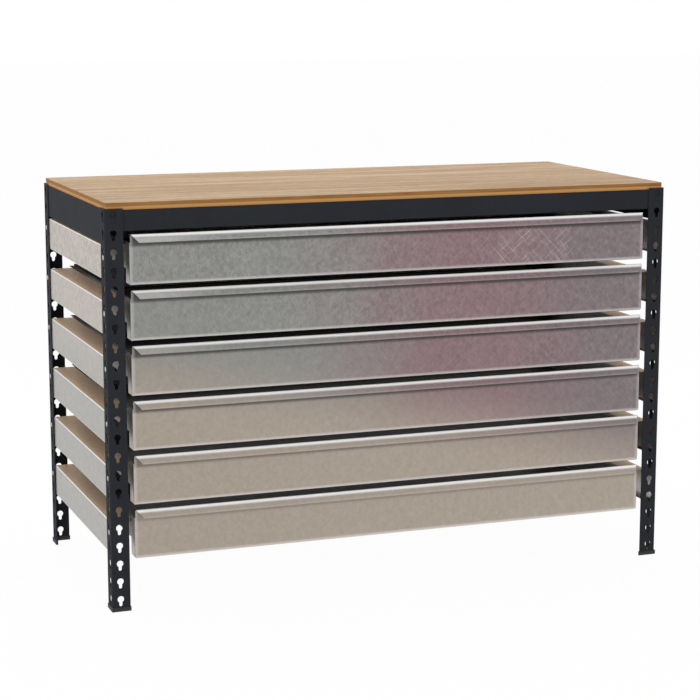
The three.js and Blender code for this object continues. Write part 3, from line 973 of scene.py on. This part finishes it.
def zinc_sheet(name, tones, lower, lying=None, metal=1.0, spangle=1.0):
    """Galvanised sheet: zinc grains drawn out upwards, streaks, specks and faint scratches.

    The colour passes through three tones from left to right and turns to the lower one towards the floor,
    along a slanted line; on the fronts these tones are painted reflection on the zinc's own colour. What
    lies flat may have its own tone and less of a metal's look. The marks of the mesh then give scratches,
    painted shadow under the lips, painted shade at the rear of the trays and painted highlights on the
    folds.
    """
    finish = Finish(name)
    grain = finish.cells(finish.stretched(GRAIN_STRETCH), ZINC_GRAINS)
    streaks = finish.noise(finish.stretched(STREAK_STRETCH), ZINC_STREAKS, detail=4.0)
    specks = finish.noise(finish.place, ZINC_SPECKS)
    cloud = finish.noise(finish.place, ZINC_CLOUDS)
    blotch = finish.noise(finish.stretched(GRAIN_STRETCH), ZINC_BLOTCHES, detail=4.0)

    # Tones from left to right and towards the floor: on the fronts, painted reflection on the zinc's own
    # colour
    across = finish.math("ADD", finish.axis("X"), finish.math("MULTIPLY", blotch, TONE_WANDER))
    height = finish.math("ADD", finish.axis("Z"), finish.math("MULTIPLY", finish.axis("X"), TONE_SLOPE))
    left, middle, right = tones
    tone_and_painted_light = finish.mix(finish.ramp(across, *TONE_MIDDLE), left, middle)
    tone_and_painted_light = finish.mix(finish.ramp(across, *TONE_RIGHT), tone_and_painted_light, right)
    tone_and_painted_light = finish.mix(finish.ramp(height, *TONE_LOWER), tone_and_painted_light, lower)
    finish.number("Metallic", metal)
    finish.number("Specular IOR Level", ZINC_GLOSS)
    if lying:
        flat = finish.ramp(finish.upward(), *LYING_FACES)
        tone_and_painted_light = finish.mix(flat, tone_and_painted_light, lying)
        finish.pattern("Metallic", finish.ramp(flat, *WHOLE, metal, LYING_METAL))

    mottle = finish.ramp(grain, *WHOLE, -GRAIN_MOTTLE, GRAIN_MOTTLE)
    parts = ((streaks, CLEAR, STREAK_MOTTLE), (specks, CLEAR, SPECK_MOTTLE), (cloud, STRONG, CLOUD_MOTTLE))
    for part, spread, strength in parts:
        mottle = finish.math("ADD", mottle, finish.ramp(part, *spread, -strength, strength))
    growth = finish.ramp(height, *MOTTLE_HEIGHT, MOTTLE_LOW * spangle, MOTTLE_HIGH * spangle)
    tone = finish.math("ADD", 1.0, finish.math("MULTIPLY", mottle, growth))
    tone_and_painted_light = finish.mix(1.0, tone_and_painted_light, finish.grey(tone), "MULTIPLY")

    scuffed = finish.ramp(finish.mark("scuff"), *WHOLE, *SCRATCH_SHARE)
    tone_and_painted_light = finish.mix(finish.math("MULTIPLY", scratches(finish), scuffed), tone_and_painted_light, SCRATCH_TONE)
    # Painted shadow under the lips, weaker towards the floor
    lip_shadow_strength = finish.ramp(finish.axis("Z"), *LIP_SHADOW_HEIGHT, *LIP_SHADOW_SHARE)
    tone_and_painted_light = finish.mix(finish.math("MULTIPLY", finish.mark("grime"), lip_shadow_strength), tone_and_painted_light, LIP_SHADOW_TONE)
    tone_and_painted_light = finish.mix(finish.mark("shade"), tone_and_painted_light, SHADE_TONE)
    # Painted highlight on the lips, hems, sides and folds
    tone_and_painted_light = finish.mix(finish.mark("polish"), tone_and_painted_light, HIGHLIGHT_TONE)
    finish.pattern("Base Color", tone_and_painted_light)
    finish.pattern("Roughness", finish.ramp(streaks, *SOFT, *ZINC_ROUGHNESS))
    finish.bump(finish.math("ADD", streaks, finish.math("MULTIPLY", specks, SPECK_RELIEF)), ZINC_RELIEF)
    return finish.material


def board_wood():
    """Raw board: fibres along the length, flecks, darker pores, and a pressed edge in two layers."""
    finish = Finish("board_wood")
    fibre = finish.noise(finish.stretched(FIBRE_STRETCH), WOOD_FIBRES, detail=6.0, roughness=0.65)
    band = finish.noise(finish.stretched(BAND_STRETCH), WOOD_BANDS, distortion=0.4)
    pores = finish.noise(finish.stretched(PORE_STRETCH), WOOD_PORES, detail=2.0)
    pores = finish.ramp(pores, *PORE_RANGE)
    flecks = finish.noise(finish.stretched(FLECK_STRETCH), WOOD_FLECKS, detail=5.0, roughness=0.7)
    dark_fleck = finish.ramp(flecks, *DARK_FLECK_RANGE, 0.0, DARK_FLECK_SHARE)
    light_fleck = finish.ramp(flecks, *LIGHT_FLECK_RANGE, 0.0, LIGHT_FLECK_SHARE)
    top = finish.mix(finish.ramp(fibre, *CLEAR), WOOD_DARK, WOOD_LIGHT)
    top = finish.mix(finish.ramp(band, *BAND_RANGE, 0.0, BAND_SHARE), top, WOOD_BAND)
    top = finish.mix(dark_fleck, top, WOOD_DARK_FLECK)
    top = finish.mix(light_fleck, top, WOOD_LIGHT_FLECK)
    top = finish.mix(finish.math("MULTIPLY", pores, PORE_SHARE), top, WOOD_PORE)

    board_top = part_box("worktop_board")[1].z
    layer = finish.ramp(finish.axis("Z"), board_top - BOARD_LAYER_LOW, board_top - BOARD_LAYER_HIGH)
    side = finish.mix(layer, EDGE_LOWER, EDGE_UPPER)
    side = finish.mix(finish.ramp(fibre, *STRONG, 0.0, EDGE_FIBRE_SHARE), side, EDGE_FIBRE)
    on_side = finish.ramp(finish.math("ABSOLUTE", finish.upward(), 0.0), *EDGE_FACES)
    finish.pattern("Base Color", finish.mix(on_side, top, side))
    finish.pattern("Roughness", finish.ramp(fibre, *SOFT, *WOOD_ROUGHNESS))
    finish.number("Specular IOR Level", WOOD_GLOSS)
    finish.bump(finish.math("SUBTRACT", fibre, finish.math("MULTIPLY", pores, PORE_RELIEF)), WOOD_RELIEF)
    return finish.material


def moulded_plastic():
    """Matt black plastic with a fine moulded grain and floor dust towards its lower edge."""
    finish = Finish("moulded_plastic")
    grain = finish.noise(finish.place, PLASTIC_GRAIN, detail=2.0)
    near_floor = finish.ramp(finish.axis("Z"), PLASTIC_DUST_HEIGHT, 0.0)
    dust = finish.math("MULTIPLY", near_floor, finish.noise(finish.place, PLASTIC_DUST_SPECKS))
    dust = finish.math("MULTIPLY", dust, PLASTIC_DUST_SHARE)
    finish.pattern("Base Color", finish.mix(dust, PLASTIC_TONE, PLASTIC_DUST))
    finish.pattern("Roughness", finish.ramp(grain, *SOFT, *PLASTIC_ROUGHNESS))
    finish.bump(grain, PLASTIC_RELIEF)
    return finish.material


# Floor, light and camera

def background_rays(tree):
    """1 for rays that show the background, straight, in a gloss or through glass; 0 for those that light."""
    path = tree.nodes.new("ShaderNodeLightPath")
    shown = path.outputs["Is Camera Ray"]
    for kind in ("Is Glossy Ray", "Is Transmission Ray"):
        either = tree.nodes.new("ShaderNodeMath")
        either.operation = "MAXIMUM"
        tree.links.new(shown, either.inputs[0])
        tree.links.new(path.outputs[kind], either.inputs[1])
        shown = either.outputs[0]
    return shown


def pale_floor():
    """A floor that shows as nearly its own white, with a small share of lit surface for the soft shadow."""
    material = bpy.data.materials.new("pale_floor")
    material.use_nodes = True
    tree = material.node_tree
    tree.nodes.clear()
    output = tree.nodes.new("ShaderNodeOutputMaterial")
    lit = tree.nodes.new("ShaderNodeBsdfDiffuse")
    lit.inputs["Color"].default_value = FLOOR_TONE
    white = tree.nodes.new("ShaderNodeEmission")
    white.inputs["Strength"].default_value = 1.0
    share = tree.nodes.new("ShaderNodeMath")
    share.operation = "MULTIPLY"
    share.inputs[1].default_value = FLOOR_WHITE
    mix = tree.nodes.new("ShaderNodeMixShader")
    tree.links.new(background_rays(tree), share.inputs[0])
    tree.links.new(share.outputs[0], mix.inputs[0])
    tree.links.new(lit.outputs[0], mix.inputs[1])
    tree.links.new(white.outputs[0], mix.inputs[2])
    tree.links.new(mix.outputs[0], output.inputs["Surface"])
    return material


def make_floor():
    """A plane under the feet."""
    corners = np.array([[[-1, -1, 0], [1, -1, 0]], [[-1, 1, 0], [1, 1, 0]]], float) * FLOOR_HALF
    floor = mesh_object("floor", *surface(corners))
    floor.data.materials.append(pale_floor())


def make_world():
    """A white surround for what is seen, and for the light a fill that falls off from front to back.

    The fill's strength goes evenly from its low to its high level with the dot product of the direction
    and the fill's own direction.
    """
    world = bpy.data.worlds.new("studio")
    bpy.context.scene.world = world
    world.use_nodes = True
    tree = world.node_tree
    tree.nodes.clear()
    output = tree.nodes.new("ShaderNodeOutputWorld")
    white = tree.nodes.new("ShaderNodeBackground")
    white.inputs["Color"].default_value = WHITE
    fill = tree.nodes.new("ShaderNodeBackground")
    fill.inputs["Color"].default_value = WHITE
    direction = tree.nodes.new("ShaderNodeTexCoord")
    toward = tree.nodes.new("ShaderNodeVectorMath")
    toward.operation = "DOT_PRODUCT"
    toward.inputs[1].default_value = FILL_DIRECTION
    level = tree.nodes.new("ShaderNodeMapRange")
    set_range(level, -1.0, 1.0, *FILL_LEVELS)
    mix = tree.nodes.new("ShaderNodeMixShader")
    tree.links.new(direction.outputs["Generated"], toward.inputs[0])
    tree.links.new(toward.outputs["Value"], level.inputs["Value"])
    tree.links.new(level.outputs["Result"], fill.inputs["Strength"])
    tree.links.new(background_rays(tree), mix.inputs[0])
    tree.links.new(fill.outputs[0], mix.inputs[1])
    tree.links.new(white.outputs[0], mix.inputs[2])
    tree.links.new(mix.outputs[0], output.inputs["Surface"])


def soft_light(name, place, target, size, watts, colour):
    """A rectangular area light that looks at a point."""
    light = bpy.data.lights.new(name, "AREA")
    light.shape = "RECTANGLE"
    light.size, light.size_y = size
    light.energy = watts
    light.color = colour
    lamp = bpy.data.objects.new(name, light)
    direction = np.subtract(target, place)
    lamp.location = place
    lamp.rotation_euler = Vector(direction).to_track_quat("-Z", "Y").to_euler()
    bpy.context.scene.collection.objects.link(lamp)


def make_camera():
    """The photograph's view: from the front left, a little above the worktop."""
    data = bpy.data.cameras.new("view")
    data.sensor_width = SENSOR
    data.lens = FOCAL_PIXELS / FRAME_PIXELS * SENSOR
    data.clip_end = CAMERA_REACH
    camera = bpy.data.objects.new("view", data)
    camera.location = CAMERA_PLACE
    camera.rotation_euler = (math.radians(90 - CAMERA_PITCH), 0, math.radians(-CAMERA_YAW))
    bpy.context.scene.collection.objects.link(camera)
    bpy.context.scene.camera = camera


# Build

anthracite = painted_steel()
front_zinc = zinc_sheet("front_zinc", FRONT_REFLECTION_TONES, FRONT_LOWER_REFLECTION_TONE)
runner_zinc = zinc_sheet(
    "runner_zinc", (RUNNER_TONE,) * 3, RUNNER_LOWER_TONE, RUNNER_LYING_TONE, spangle=RUNNER_SPANGLE)
tray_zinc = zinc_sheet(
    "tray_zinc", (TRAY_TONE,) * 3, TRAY_TONE, TRAY_LYING_TONE, metal=TRAY_METAL, spangle=TRAY_SPANGLE)
plastic = moulded_plastic()

make_posts(anthracite)
make_beams(anthracite)
make_runners(runner_zinc)
make_drawers(front_zinc, tray_zinc)
make_board(board_wood())

for corner in CORNERS:
    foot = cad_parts["foot_" + corner]
    foot.data.materials.clear()
    foot.data.materials.append(plastic)

make_floor()
make_world()
for name, lamp in LIGHTS.items():
    soft_light(name, **lamp)
make_camera()

scene = bpy.context.scene
scene.view_settings.view_transform = "Standard"
